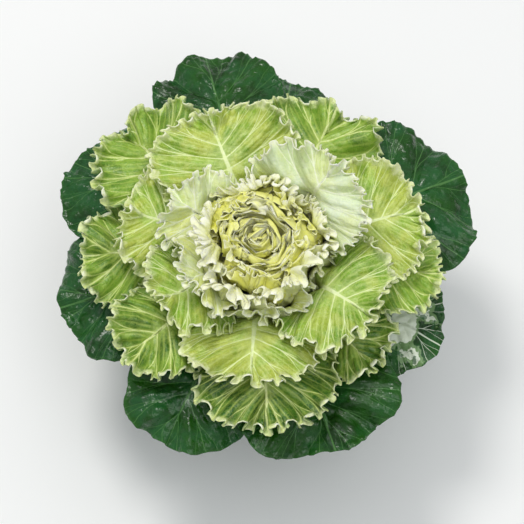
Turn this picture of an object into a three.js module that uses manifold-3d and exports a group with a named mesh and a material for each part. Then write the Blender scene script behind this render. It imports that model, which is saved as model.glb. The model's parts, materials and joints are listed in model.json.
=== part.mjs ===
// An ornamental kale, Brassica oleracea, in a plain round nursery pot.
// Units are millimetres. +Z is up, and the origin is the middle of the pot's underside.
//
// The leaves grow in seven rings on one short stem, from the heart at the top of the stem to the
// broad green leaves that spread over the pot's rim. Each leaf lies in a layer of its own: a surface
// round the stem whose outline, seen from the side, is one circular arc. The arcs start lower on the
// stem and rise less steeply from one layer to the next, so no two leaves meet.
import * as THREE from "three";
import { mergeVertices } from "three/addons/utils/BufferGeometryUtils.js";
import Module from "manifold-3d";

const wasm = await Module();
wasm.setup();

// ---- Driving dimensions ----
const POT_HEIGHT = 100;
const POT_RIM_RADIUS = 60;
const POT_FOOT_RADIUS = 43;
const POT_WALL = 1.5;
const POT_FLOOR = 2;
const POT_CORNER = 1.5; // bevel between the wall and the floor
const RIM_BAND = 9; // height of the turned-out band at the top of the pot
const RIM_STEP = 2.2; // how far that band stands out from the wall below it
const RIM_FLARE = 0.6; // how far the band leans out on its way up
const RIM_BEVEL = 0.6; // bevel of the band's edges
const DRAIN_HOLES = 8;
const DRAIN_RADIUS = 4;
const DRAIN_CIRCLE = 30;
const DRAIN_SEGMENTS = 16;
const SOIL_LEVEL = 91;
const SOIL_DOME = 1.5; // how much higher the soil is in the middle
const SOIL_EDGE = 4; // width of the sunken edge of the soil along the wall
const SOIL_EDGE_DEPTH = 2;
const GAP = 0.35; // clearance between pieces that touch
const MERGE_DISTANCE = 1e-4; // vertices closer than this are one
const POT_SEGMENTS = 48;

const STEM_PROFILE = [
  // [radius, height], from the root's tip to the growing point
  [0, 58],
  [3.2, 60],
  [6, 76],
  [8.4, 90],
  [9.6, 100],
  [9.6, 124],
  [8.8, 134],
  [7, 142],
  [4.6, 147.5],
  [2.6, 150.5],
  [0, 151.5],
];
const STEM_SEGMENTS = 24;
const BUD_PROFILE = [
  [0, 152],
  [1.6, 153],
  [2.5, 156.5],
  [1.9, 161],
  [0, 164],
];
const BUD_SEGMENTS = 12;

// The whole rosette leans, more with height: at CROWN_HEIGHT it stands LEAN away from the pot's axis.
const CROWN_HEIGHT = 170;
const LEAN = [-2, -12];
const LEAN_POWER = 1.5;

// The rings, from the heart outwards. base is the height on the stem, rise is the angle above the
// horizontal at the stem and at the tip, and length runs along the leaf. A leaf's entry gives its
// azimuth, then its length and width as shares of the ring's. Entries run from the ring's highest
// layer to its lowest.
const RINGS = [
  {
    name: "inner_heart_leaf",
    colour: 0xc6c172,
    base: 147,
    rise: [70, 96],
    length: 23,
    halfWidth: 8.5,
    petiole: { share: 0.1, halfWidth: 1.8, rib: 0.5 },
    blade: 0.6,
    leaves: [
      [20, 0.86, 0.9],
      [157, 0.92, 1],
      [295, 0.97, 1],
      [72, 1.03, 1.05],
    ],
  },
  {
    name: "outer_heart_leaf",
    colour: 0xc9c67e,
    base: 143.5,
    rise: [58, 72],
    length: 32,
    halfWidth: 13,
    petiole: { share: 0.1, halfWidth: 2.2, rib: 0.7 },
    blade: 0.6,
    leaves: [
      [210, 0.95, 1],
      [347, 1, 1],
      [125, 1, 1],
      [262, 1, 1],
      [48, 1.04, 1.05],
    ],
  },
  {
    name: "cup_leaf",
    colour: 0xbfc690,
    base: 139.5,
    rise: [48, 50],
    length: 41,
    halfWidth: 19,
    petiole: { share: 0.12, halfWidth: 2.8, rib: 1.1 },
    blade: 0.8,
    leaves: [
      [185, 1, 1],
      [310, 1, 1],
      [85, 1, 1.05],
      [245, 1, 1],
      [10, 1, 1],
    ],
  },
  {
    name: "cream_leaf",
    colour: 0xcdddbf,
    base: 134,
    rise: [36, 25],
    length: 53,
    halfWidth: 29,
    petiole: { share: 0.14, halfWidth: 3.4, rib: 1.8 },
    blade: 1.1,
    leaves: [
      [44, 1.26, 1.3],
      [212, 0.92, 0.9],
      [152, 1.02, 1],
      [274, 0.8, 1],
    ],
  },
  {
    name: "lime_leaf",
    colour: 0xa9c061,
    base: 127,
    rise: [26, 8],
    length: 74,
    halfWidth: 37,
    petiole: { share: 0.2, halfWidth: 3.8, rib: 2.6 },
    blade: 1.2,
    leaves: [
      [325, 0.98, 1.05],
      [110, 1.12, 1.15],
      [211, 0.84, 0.85],
      [14, 1.18, 1.05],
      [163, 1, 0.95],
      [266, 1, 1.1],
    ],
  },
  {
    name: "frilled_leaf",
    colour: 0x8fae58,
    base: 119,
    rise: [21, -8],
    length: 94,
    halfWidth: 36,
    petiole: { share: 0.25, halfWidth: 3.5, rib: 2.5 },
    blade: 1.2,
    leaves: [
      [136, 1.12, 1.1],
      [351, 1, 0.85],
      [220, 0.96, 0.85],
      [64, 1, 1.1],
      [272, 1.02, 1.1],
      [180, 0.98, 1],
      [312, 0.9, 0.85],
    ],
  },
  {
    name: "outer_leaf",
    colour: 0x2f5a24,
    base: 110,
    rise: [25, -28],
    length: 113,
    halfWidth: 40,
    petiole: { share: 0.32, halfWidth: 3.4, rib: 3 },
    blade: 1.2,
    leaves: [
      [24, 1.04, 1.2],
      [104, 1.18, 0.95],
      [290, 0.98, 1.15],
      [149, 1.06, 1],
      [244, 1, 0.9],
      [333, 0.9, 0.85],
      [193, 0.96, 1],
      [82, 1.06, 0.8],
    ],
  },
];
const RING_SPREAD = 0.8; // share of the room between two rings that one ring's layers take up

// Shape of every blade.
const WIDEST_AT = 0.56; // share of the blade's length
const MIDRIB_END = 0.86; // share of the leaf's length
const MIDRIB_SPACING = 1.2; // power that sets the side veins' roots closer near the stalk
const RIB_TAPER = 0.85; // share of the rib's height lost from the stem to the tip
const BLADE_SQUARENESS = 2.3; // 2 is an ellipse, and more is squarer
const BASE_SINK = 1.5; // how far a leaf starts inside the stem before the stem is cut from it
const LEAST_FLATNESS = 0.15; // least cosine of the rise, used where a leaf stands almost upright
const COLUMNS = 7; // grid columns on each half of a leaf
const PETIOLE_COLUMNS = 2; // how many of them lie along the leaf stalk
const ROWS = [0, 0.16, 0.55, 1]; // grid rows, from the midrib to the edge

const RADIANS = Math.PI / 180;

// ---- Helpers ----

/** The radius at a height on a profile of [radius, height] points. */
function alongProfile(profile, height) {
  for (let i = 1; i < profile.length; i++) {
    const [r0, z0] = profile[i - 1];
    const [r1, z1] = profile[i];
    if (height <= z1) return r0 + ((r1 - r0) * (height - z0)) / (z1 - z0);
  }
  return profile.at(-1)[0];
}

/** A solid of revolution about Z from [radius, height] points that run up its outside. */
function revolve(points, segments) {
  const outline = points.map(([r, z]) => new THREE.Vector2(r, z));
  return new THREE.LatheGeometry(outline, segments).rotateX(Math.PI / 2);
}

/** A manifold-3d solid from a closed three.js geometry. */
function toSolid(geometry) {
  const bare = geometry.index ? geometry.toNonIndexed() : geometry.clone();
  bare.deleteAttribute("normal");
  bare.deleteAttribute("uv");
  const merged = mergeVertices(bare, MERGE_DISTANCE);
  return new wasm.Manifold(
    new wasm.Mesh({
      numProp: 3,
      vertProperties: merged.attributes.position.array,
      triVerts: new Uint32Array(merged.index.array),
    }),
  );
}

/** A three.js geometry from a manifold-3d solid. */
function toGeometry(solid) {
  const mesh = solid.getMesh();
  return new THREE.BufferGeometry()
    .setAttribute("position", new THREE.BufferAttribute(mesh.vertProperties, 3))
    .setIndex(new THREE.BufferAttribute(mesh.triVerts, 1));
}

/** Moves every vertex with the lean of the rosette, which grows from nothing at the soil. */
function lean(geometry) {
  const position = geometry.attributes.position;
  for (let i = 0; i < position.count; i++) {
    const above = Math.max(position.getZ(i) - SOIL_LEVEL, 0) / (CROWN_HEIGHT - SOIL_LEVEL);
    const share = above ** LEAN_POWER;
    position.setX(i, position.getX(i) + LEAN[0] * share);
    position.setY(i, position.getY(i) + LEAN[1] * share);
  }
  return geometry;
}

const group = new THREE.Group();

function addPiece(name, geometry, colour, roughness) {
  geometry.computeVertexNormals();
  const material = new THREE.MeshStandardMaterial({ color: colour, roughness, metalness: 0 });
  const mesh = new THREE.Mesh(geometry, material);
  mesh.name = name;
  group.add(mesh);
}

// ---- Pot: thin wall, turned-out rim band, drain holes in the floor ----

const wallTop = POT_HEIGHT - RIM_BAND;
const bandRadius = POT_RIM_RADIUS - RIM_FLARE;
const wallTopRadius = bandRadius - RIM_STEP;
const wallSlope = (wallTopRadius - POT_FOOT_RADIUS) / wallTop;

/** Inner radius of the pot's wall at a height below its rim band. */
function potInside(height) {
  return POT_FOOT_RADIUS + wallSlope * height - POT_WALL;
}

function pot() {
  const cornerTop = POT_FLOOR + POT_CORNER;
  const outline = [
    [0, 0],
    [POT_FOOT_RADIUS - POT_CORNER, 0],
    [POT_FOOT_RADIUS, POT_CORNER],
    [wallTopRadius, wallTop],
    [bandRadius - RIM_BEVEL, wallTop],
    [bandRadius, wallTop + RIM_BEVEL],
    [POT_RIM_RADIUS, POT_HEIGHT - RIM_BEVEL],
    [POT_RIM_RADIUS - RIM_BEVEL, POT_HEIGHT],
    [POT_RIM_RADIUS - POT_WALL, POT_HEIGHT],
    [bandRadius - POT_WALL, wallTop + POT_WALL],
    [potInside(wallTop), wallTop + POT_WALL],
    [potInside(cornerTop), cornerTop],
    [potInside(cornerTop) - POT_CORNER, POT_FLOOR],
    [0, POT_FLOOR],
  ];
  let solid = toSolid(revolve(outline, POT_SEGMENTS));
  const drillHeight = 4 * POT_FLOOR;
  for (let i = 0; i < DRAIN_HOLES; i++) {
    const turn = (2 * Math.PI * (i + 0.5)) / DRAIN_HOLES;
    const drill = new THREE.CylinderGeometry(DRAIN_RADIUS, DRAIN_RADIUS, drillHeight, DRAIN_SEGMENTS)
      .rotateX(Math.PI / 2)
      .translate(DRAIN_CIRCLE * Math.cos(turn), DRAIN_CIRCLE * Math.sin(turn), 0);
    solid = solid.subtract(toSolid(drill));
  }
  return toGeometry(solid);
}

// ---- Stem, its root, and the bud at its tip ----

/** The stem, grown by a clearance on all sides. */
function stem(clearance) {
  const outline = STEM_PROFILE.map(([radius, height]) => [radius && radius + clearance, height]);
  outline[0][1] -= clearance;
  outline.at(-1)[1] += clearance;
  return toSolid(revolve(outline, STEM_SEGMENTS));
}

const stemWithGap = stem(GAP);

// ---- Soil: fills the pot to just under its rim, with a hole for the stem's root ----

function soil() {
  const bottom = POT_FLOOR + GAP;
  const cornerTop = bottom + POT_CORNER;
  const edge = SOIL_LEVEL - SOIL_EDGE_DEPTH;
  const outline = [
    [0, bottom],
    [potInside(cornerTop) - GAP - POT_CORNER, bottom],
    [potInside(cornerTop) - GAP, cornerTop],
    [potInside(edge) - GAP, edge],
    [potInside(edge) - SOIL_EDGE, SOIL_LEVEL],
    [0, SOIL_LEVEL + SOIL_DOME],
  ];
  return toGeometry(toSolid(revolve(outline, POT_SEGMENTS)).subtract(stemWithGap));
}

// ---- Leaves ----

/** A ring dimension at a place between the rings, carried on past the first and last. */
function between(place, read) {
  const low = Math.min(Math.max(Math.floor(place), 0), RINGS.length - 2);
  const from = read(RINGS[low]);
  return from + (read(RINGS[low + 1]) - from) * (place - low);
}

/** The layer that lies at a place between the rings: one circular arc, seen from the side. */
function layerAt(place) {
  const base = between(place, (ring) => ring.base);
  const start = between(place, (ring) => ring.rise[0]) * RADIANS;
  const end = between(place, (ring) => ring.rise[1]) * RADIANS;
  return {
    radius: alongProfile(STEM_PROFILE, base) - BASE_SINK,
    height: base,
    start,
    bend: (end - start) / between(place, (ring) => ring.length),
  };
}

/** Radius, height and rise of a layer at a distance along its arc. */
function alongLayer(layer, distance) {
  const rise = layer.start + layer.bend * distance;
  return {
    rise,
    radius: layer.radius + (Math.sin(rise) - Math.sin(layer.start)) / layer.bend,
    height: layer.height - (Math.cos(rise) - Math.cos(layer.start)) / layer.bend,
  };
}

/** The point at (across, along) on a flat leaf, rolled on to its layer and lifted off it. */
function onLayer(leaf, across, along, lift) {
  const middle = alongLayer(leaf.layer, along);
  const flatness = Math.max(Math.cos(middle.rise), LEAST_FLATNESS);
  const toApex = middle.radius / flatness; // the cone that touches the layer here ends this far off
  const outward = alongLayer(leaf.layer, along + Math.hypot(toApex, across) - toApex);
  const turn = leaf.azimuth - Math.atan2(across, toApex) / flatness;
  const radius = outward.radius - lift * Math.sin(outward.rise);
  return [
    radius * Math.cos(turn),
    radius * Math.sin(turn),
    outward.height + lift * Math.cos(outward.rise),
  ];
}

/** The flat outline of half a leaf and the midrib point that each outline point's vein leaves. */
function halfOutline(leaf) {
  const { length, halfWidth, petiole } = leaf;
  const stalk = petiole.share * length;
  const bladeLength = length - stalk;
  const widest = stalk + WIDEST_AT * bladeLength;
  const power = 2 / BLADE_SQUARENESS;
  const firstAngle = -Math.acos((petiole.halfWidth / halfWidth) ** (1 / power));
  const points = [];
  for (let i = 0; i < PETIOLE_COLUMNS; i++) {
    const along = (stalk * i) / PETIOLE_COLUMNS;
    points.push({ across: petiole.halfWidth, along, rib: along });
  }
  for (let i = PETIOLE_COLUMNS; i <= COLUMNS; i++) {
    const share = (i - PETIOLE_COLUMNS) / (COLUMNS - PETIOLE_COLUMNS);
    const angle = firstAngle + (Math.PI / 2 - firstAngle) * share;
    const reach = angle < 0 ? widest - stalk : length - widest;
    points.push({
      across: halfWidth * Math.max(Math.cos(angle), 0) ** power,
      along: widest + reach * Math.sign(angle) * Math.abs(Math.sin(angle)) ** power,
      rib: stalk + (MIDRIB_END - petiole.share) * length * share ** MIDRIB_SPACING,
    });
  }
  return points;
}

/** A closed leaf: its upper and lower faces on one grid, joined round the edge. */
function leafGeometry(leaf) {
  const half = halfOutline(leaf);
  const last = 2 * COLUMNS;
  const upper = [];
  const lower = [];
  for (let column = 0; column <= last; column++) {
    const side = column < COLUMNS ? -1 : 1;
    const edge = half[Math.min(column, last - column)];
    const rowPoint = (share, lift) =>
      onLayer(leaf, side * edge.across * share, edge.rib + (edge.along - edge.rib) * share, lift);
    const ribHeight = leaf.petiole.rib * (1 - (RIB_TAPER * edge.rib) / leaf.length);
    upper.push(ROWS.map((share) => rowPoint(share, leaf.blade / 2)));
    lower.push(
      ROWS.map((share) => {
        const rib = ribHeight * Math.max(1 - (share * edge.across) / leaf.petiole.halfWidth, 0);
        return rowPoint(share, -leaf.blade / 2 - rib);
      }),
    );
  }
  const triangles = [];
  const quad = (a, b, c, d) => triangles.push(a, b, c, a, c, d);
  const rim = ROWS.length - 1;
  for (let column = 0; column < last; column++) {
    for (let row = 0; row < rim; row++) {
      const [top, nextTop] = [upper[column], upper[column + 1]];
      const [under, nextUnder] = [lower[column], lower[column + 1]];
      quad(top[row], nextTop[row], nextTop[row + 1], top[row + 1]);
      quad(under[row], under[row + 1], nextUnder[row + 1], nextUnder[row]);
    }
    quad(upper[column][rim], upper[column + 1][rim], lower[column + 1][rim], lower[column][rim]);
  }
  for (let row = 0; row < rim; row++) {
    quad(upper[0][row], upper[0][row + 1], lower[0][row + 1], lower[0][row]);
    quad(upper[last][row + 1], upper[last][row], lower[last][row], lower[last][row + 1]);
  }
  const position = new THREE.Float32BufferAttribute(triangles.flat(), 3);
  return new THREE.BufferGeometry().setAttribute("position", position);
}

/** Adds a ring's leaves, each cut where it meets the stem and then leaned with the rosette. */
function addRing(ring, ringNumber) {
  const count = ring.leaves.length;
  ring.leaves.forEach(([azimuth, lengthShare, widthShare], i) => {
    const place = ringNumber + RING_SPREAD * ((i + 0.5) / count - 0.5);
    const leaf = {
      azimuth: azimuth * RADIANS,
      length: ring.length * lengthShare,
      halfWidth: ring.halfWidth * widthShare,
      petiole: ring.petiole,
      blade: ring.blade,
      layer: layerAt(place),
    };
    const solid = toSolid(leafGeometry(leaf)).subtract(stemWithGap);
    addPiece(`${ring.name}_${i + 1}`, lean(toGeometry(solid)), ring.colour, 0.5);
  });
}

addPiece("nursery_pot", pot(), 0x46423f, 0.55);
addPiece("potting_soil", soil(), 0x2e241c, 0.95);
addPiece("stem", lean(toGeometry(stem(0))), 0x9fae7a, 0.6);
addPiece("heart_bud", lean(revolve(BUD_PROFILE, BUD_SEGMENTS)), 0xc9bf66, 0.55);
RINGS.forEach(addRing);

export default group;
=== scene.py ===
"""An ornamental kale in a nursery pot: the looks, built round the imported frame.

Lengths are millimetres until a mesh is made, which scales them to metres. Every leaf is one closed
sheet on a fan-shaped grid: its columns run from the midrib to the edge, as the side veins do, and
its rows run along the edge. The grid is lobed, ruffled, puckered and veined, and then laid on the
same layer round the stem as its CAD node.
"""

import json
import math

import bmesh
import bpy
import numpy as np
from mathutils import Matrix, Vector


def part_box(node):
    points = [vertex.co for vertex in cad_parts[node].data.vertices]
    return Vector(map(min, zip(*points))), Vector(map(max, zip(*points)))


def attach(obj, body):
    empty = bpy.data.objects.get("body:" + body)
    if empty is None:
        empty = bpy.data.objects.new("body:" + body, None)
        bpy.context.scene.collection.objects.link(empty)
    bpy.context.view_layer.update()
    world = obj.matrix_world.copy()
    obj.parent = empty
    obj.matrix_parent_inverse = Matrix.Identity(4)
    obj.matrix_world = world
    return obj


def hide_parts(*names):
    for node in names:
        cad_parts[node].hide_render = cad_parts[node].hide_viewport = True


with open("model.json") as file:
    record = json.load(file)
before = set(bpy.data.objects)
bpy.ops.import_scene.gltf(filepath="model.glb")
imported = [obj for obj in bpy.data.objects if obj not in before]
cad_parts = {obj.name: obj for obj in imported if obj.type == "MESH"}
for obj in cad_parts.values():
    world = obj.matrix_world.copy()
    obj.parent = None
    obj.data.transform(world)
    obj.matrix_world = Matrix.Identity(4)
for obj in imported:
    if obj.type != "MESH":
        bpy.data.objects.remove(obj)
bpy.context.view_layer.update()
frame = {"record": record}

MM = 0.001
BODY = "root"
SLOTS = {part["node"]: part["material_slot"] for part in frame["record"]["subparts"]}
FULL_TURN = 2 * math.pi

# ---- The plant's build, as the CAD part has it ----
SOIL_LEVEL = 91
CROWN_HEIGHT = 170  # the rosette stands LEAN off the pot's axis at this height
LEAN = (-2, -12)
LEAN_POWER = 1.5
STEM_RADII = (0, 3.2, 6, 8.4, 9.6, 9.6, 8.8, 7, 4.6, 2.6, 0)
STEM_HEIGHTS = (58, 60, 76, 90, 100, 124, 134, 142, 147.5, 150.5, 151.5)
BASE_SINK = 1.5  # how far a leaf starts inside the stem
RING_SPREAD = 0.8  # share of the room between two rings that one ring's layers take up
WIDEST_AT = 0.56  # share of the blade's length
MIDRIB_END = 0.86  # share of the leaf's length
MIDRIB_SPACING = 1.2  # power that sets the side veins' roots closer near the stalk
BLADE_SQUARENESS = 2.3
LEAST_FLATNESS = 0.15  # least cosine of the rise that is reckoned with


def by_column(table):
    """One dictionary a column, from a table with one list a key."""
    return [dict(zip(table, column)) for column in zip(*table.values())]


# The rings of leaves, from the heart out. From the grid on, a ring's values are looks.
RINGS = by_column(dict(
    name=[
        "inner_heart_leaf", "outer_heart_leaf", "cup_leaf", "cream_leaf", "lime_leaf", "frilled_leaf",
        "outer_leaf",
    ],
    look=[
        "heart_leaf", "heart_leaf", "cup_leaf", "cream_leaf", "lime_leaf", "frilled_leaf", "outer_leaf",
    ],
    base=[147, 143.5, 139.5, 134, 127, 119, 110],  # height on the stem
    rise=[(70, 96), (58, 72), (48, 50), (36, 25), (26, 8), (21, -8), (25, -28)],  # at stem and tip
    length=[23, 32, 41, 53, 74, 94, 113],
    half_width=[8.5, 13, 19, 29, 37, 36, 40],
    stalk=[  # share of the length, half width, depth of the rib
        (0.1, 1.8, 0.5), (0.1, 2.2, 0.7), (0.12, 2.8, 1.1), (0.14, 3.4, 1.8), (0.2, 3.8, 2.6),
        (0.25, 3.5, 2.5), (0.32, 3.4, 3),
    ],
    blade=[0.7, 0.6, 0.5, 0.55, 0.6, 0.6, 0.7],  # thickness
    leaves=[  # azimuth, shares of the length and the width, tint; the highest layer first
        [(20, 0.86, 0.9, 0.3), (157, 0.92, 1, 0.6), (295, 0.97, 1, 0.4), (72, 1.03, 1.05, 0.5)],
        [
            (210, 0.95, 1, 0.5), (347, 1, 1, 0.3), (125, 1, 1, 0.6), (262, 1, 1, 0.4),
            (48, 1.04, 1.05, 0.5),
        ],
        [(185, 1, 1, 0.5), (310, 1, 1, 0.4), (85, 1, 1.05, 0.3), (245, 1, 1, 0.5), (10, 1, 1, 0.4)],
        [(44, 1.26, 1.3, 0.0), (212, 0.92, 0.9, 0.75), (152, 1.02, 1, 0.5), (274, 0.8, 1, 1.0)],
        [
            (325, 0.98, 1.05, 0.1), (110, 1.12, 1.15, 0.65), (211, 0.84, 0.85, 0.5),
            (14, 1.18, 1.05, 0.7), (163, 1, 0.95, 0.6), (266, 1, 1.1, 0.75),
        ],
        [
            (136, 1.12, 1.1, 0.8), (351, 1, 0.85, 0.7), (220, 0.96, 0.85, 0.5), (64, 1, 1.1, 0.8),
            (272, 1.02, 1.1, 0.0), (180, 0.98, 1, 0.6), (312, 0.9, 0.85, 0.3),
        ],
        [
            (24, 1.04, 1.2, 0.5), (104, 1.18, 0.95, 0.2), (290, 0.98, 1.15, 0.0), (149, 1.06, 1, 0.6),
            (244, 1, 0.9, 0.3), (333, 0.9, 0.85, 0.0), (193, 0.96, 1, 0.5), (82, 1.06, 0.8, 0.1),
        ],
    ],
    # spacing along the edge and number of rows
    grid=[(0.38, 12), (0.45, 14), (0.48, 18), (0.55, 22), (0.66, 26), (0.74, 24), (1.7, 26)],
    ruffles=[  # three orders: wavelength, height, reach in from the edge
        [(10, 2.2, 8), (4.6, 2.0, 4.4), (2.4, 0.8, 2.2)],
        [(13, 2.4, 9), (5.4, 2.6, 5.4), (2.7, 1.2, 2.6)],
        [(17, 3.4, 12), (6.2, 3.0, 7), (3.0, 1.3, 2.8)],
        [(24, 6.0, 15), (8.5, 3.2, 6.5), (3.6, 1.4, 3.0)],
        [(30, 7.0, 17), (10, 3.4, 7.5), (4.1, 1.4, 3.2)],
        [(32, 8.0, 19), (11, 3.6, 8.5), (4.4, 1.5, 3.4)],
        [(46, 5.5, 22), (19, 1.8, 8), (8, 0.5, 2.5)],
    ],
    lobes=[(6, 1.0), (7, 1.0), (9, 1.4), (15, 3.0), (21, 2.6), (22, 2.8), (34, 2.6)],  # size, depth
    roll=[1.8, 3.6, 4.5, 2.5, 1.5, 1.0, 1.0],  # of the edge, downwards
    sway=[1.8, 2.4, 2.4, 3.0, 3.5, 4.0, 4.5],  # of the whole blade
    blisters=[(4, 0.5), (4.5, 0.6), (5.5, 0.6), (7, 0.7), (8, 1.0), (8, 1.1), (9, 1.6)],  # size, height
    pleat=[0.6, 0.7, 0.8, 1.0, 1.3, 1.4, 1.2],  # height of the blade between two side veins
    veins=[5, 5, 6, 7, 8, 8, 7],  # side veins on each half
    margin=[  # how far it is turned up, over what reach, and how many degrees its ruffles slant
        (0.0, 2.0, 25), (-0.5, 2.5, 25), (-1.0, 4.0, 40), (3.0, 3.8, 55), (4.4, 4.4, 65),
        (4.6, 4.8, 65), (1.0, 4.0, 10),
    ],
))
VARIEGATED = "outer_leaf_6"  # the one outer leaf that is part white


# ---- Noise, all seeded ----

LATTICE = 61  # steps after which the smooth noise repeats
CELL_LATTICE = 59  # cells after which the random cells repeat
CELL_JITTER = (0.1, 0.9)  # where in its cell a cell's point may lie


def smooth_step(value, low, high):
    """0 at the low value, 1 at the high one, and an S-shaped curve between them."""
    share = np.clip((value - low) / (high - low), 0, 1)
    return share * share * (3 - 2 * share)


def smooth_noise(x, y, seed):
    """Smooth noise from -1 to 1, one lattice step to a unit."""
    lattice = np.random.default_rng(seed).uniform(-1, 1, (LATTICE, LATTICE))
    x0 = np.floor(x).astype(int)
    y0 = np.floor(y).astype(int)
    fx = smooth_step(x - x0, 0, 1)
    fy = smooth_step(y - y0, 0, 1)

    def corner(dx, dy):
        return lattice[(x0 + dx) % LATTICE, (y0 + dy) % LATTICE]

    low = corner(0, 0) * (1 - fx) + corner(1, 0) * fx
    high = corner(0, 1) * (1 - fx) + corner(1, 1) * fx
    return low * (1 - fy) + high * fy


def along_noise(travelled, mean, amount, step, seed):
    """Smooth noise along a line, round its mean, one lattice step to so many millimetres."""
    return mean + amount * smooth_noise(travelled / step, np.full_like(travelled, step), seed)


def cell_edges(x, y, seed):
    """How far a point lies from the edges of random cells, one cell to a unit: 0 on an edge."""
    jitter = np.random.default_rng(seed).uniform(*CELL_JITTER, (CELL_LATTICE, CELL_LATTICE, 2))
    x0 = np.floor(x).astype(int)
    y0 = np.floor(y).astype(int)
    nearest = np.full(x.shape, np.inf)
    second = nearest
    for dx in (-1, 0, 1):
        for dy in (-1, 0, 1):
            point = jitter[(x0 + dx) % CELL_LATTICE, (y0 + dy) % CELL_LATTICE]
            away = np.hypot(x0 + dx + point[..., 0] - x, y0 + dy + point[..., 1] - y)
            second = np.minimum(second, np.maximum(nearest, away))
            nearest = np.minimum(nearest, away)
    return second - nearest


# ---- Layers round the stem ----

CRUMPLE = (2.4, 2.4, 1.6)  # how far the folds of the heart move it along each axis
CRUMPLE_SIZE = 4.5  # from one fold to the next
CRUMPLE_CLIMB = 25  # height over which the folds shift by one
CRUMPLE_FINE = (2.1, 0.4)  # finer folds: how many to a fold, and their share of its height
CRUMPLE_SHIFT = 7  # of the noise, from one axis to the next
CRUMPLE_SEEDS = (61, 71)  # of the folds and the finer ones
CRUMPLE_REACH = (14, 30)  # the folds are full up to the first distance and end at the second
CRUMPLE_HEIGHTS = (150, 162)  # where they start and where they are full


def between(place, key):
    """A ring dimension at a place between the rings, carried on past the first and last."""
    low = min(max(math.floor(place), 0), len(RINGS) - 2)
    start, end = (np.array(ring[key]) for ring in RINGS[low:low + 2])
    return start + (end - start) * (place - low)


class Layer:
    """A surface round the stem whose outline, seen from the side, is one circular arc."""

    def __init__(self, place):
        self.base = between(place, "base")
        self.start, end = np.radians(between(place, "rise"))
        self.bend = (end - self.start) / between(place, "length")
        self.radius = np.interp(self.base, STEM_HEIGHTS, STEM_RADII) - BASE_SINK

    def at(self, distance):
        """Radius, height and rise at a distance along the arc."""
        rise = self.start + self.bend * distance
        radius = self.radius + (np.sin(rise) - math.sin(self.start)) / self.bend
        height = self.base - (np.cos(rise) - math.cos(self.start)) / self.bend
        return radius, height, rise


def layer_spacing(place, distance):
    """Room in millimetres between this layer and the one a whole ring further down."""
    step = 0.25  # of a ring
    radius, height, rise = Layer(place).at(distance)
    low_radius, low_height, _ = Layer(place + step).at(distance)
    return ((low_radius - radius) * np.sin(rise) + (height - low_height) * np.cos(rise)) / step


def leaned(points):
    """The points moved with the lean of the rosette, which grows from nothing at the soil."""
    above = np.maximum(points[..., 2:] - SOIL_LEVEL, 0) / (CROWN_HEIGHT - SOIL_LEVEL)
    moved = points.copy()
    moved[..., :2] += LEAN * above ** LEAN_POWER
    return moved


def crumpled(points):
    """The points of the heart, all moved by one noise, so that leaves side by side fold together."""
    x, y, z = points[..., 0], points[..., 1], points[..., 2]
    near = 1 - smooth_step(np.hypot(x - LEAN[0], y - LEAN[1]), *CRUMPLE_REACH)
    near = near * smooth_step(z, *CRUMPLE_HEIGHTS)
    finer, fine_share = CRUMPLE_FINE
    fold_x = x / CRUMPLE_SIZE
    fold_y = y / CRUMPLE_SIZE
    fold_seed, fine_seed = CRUMPLE_SEEDS
    moved = points.copy()
    for axis, amount in enumerate(CRUMPLE):
        shift = CRUMPLE_SHIFT * axis
        fold = smooth_noise(fold_x + shift, fold_y + z / CRUMPLE_CLIMB, fold_seed + axis)
        fine = smooth_noise(finer * fold_x, finer * fold_y + shift, fine_seed + axis)
        moved[..., axis] += near * amount * (fold + fine_share * fine)
    return moved


class Ceiling:
    """The underside of the leaves made so far, on a map of azimuth and distance along the layers.

    It holds places, which grow downwards: a leaf in layer 3 that sags by half a ring counts as 3.5.
    """

    TURNS = 360
    STEPS = 80
    STEP = 2.0  # millimetres along the layer
    NO_LEAF = -9.0  # a place far above every leaf

    def __init__(self):
        self.place = np.full((self.TURNS, self.STEPS), self.NO_LEAF)

    def cells(self, turn, distance):
        """Where on the map points lie."""
        column = np.floor(np.degrees(turn)).astype(int) % self.TURNS
        row = np.clip((distance / self.STEP).astype(int), 0, self.STEPS - 1)
        return column, row

    def room(self, place, turn, distance, spacing):
        """How far each point of a leaf may rise before it meets a leaf above it."""
        grown = self.place
        for axis in (0, 1):
            grown = np.maximum(grown, np.maximum(np.roll(grown, 1, axis), np.roll(grown, -1, axis)))
        return (place - grown[self.cells(turn, distance)]) * spacing

    def add(self, place, turn, distance, spacing, underside):
        """Puts a leaf's underside on the map."""
        np.maximum.at(self.place, self.cells(turn, distance), place - underside / spacing)


# ---- The flat grid of a leaf ----

OUTLINE_SAMPLES = 600
LEAST_COLUMNS = 12  # on each half of a blade
LEAST_STALK_COLUMNS = 4
STALK_COLUMN = 3  # how many times as wide a column is on the stalk
ROW_CROWDING = 0.75  # how much closer the rows lie at the midrib and at the edge
ROW_SHIFT = 0.9  # power that moves the rows a little towards the edge
BLADE_START = 0.22  # share of the columns over which the stalk passes into the blade
LEAST_REACH = 6.0  # shorter columns than this follow the lobes only in part
VEIN_BOW = 0.05  # how far a side vein bows towards the stalk, as a share of its length
LOBE_SIZE = 0.35
LOBE_DRIFT = (1.5, 1.6)  # of their phase: amount, and size in lobes
BAY_SIZE = (0.65, 0.5, 1.3)  # mean, change, and the change's size in lobes
BAY_SHARPNESS = 1.6
TEETH = 2.7  # to a lobe
TOOTH_SHIFT = 1  # of their phase
TOOTH_SIZE = 0.2
TOOTH_SHARPNESS = 1.3
SLOW_CHANGE = (0.5, 23)  # of the outline: amount and size


def path_length(x, y):
    """How far along a line each of its points lies."""
    return np.concatenate([[0], np.cumsum(np.hypot(np.diff(x), np.diff(y)))])


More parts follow.
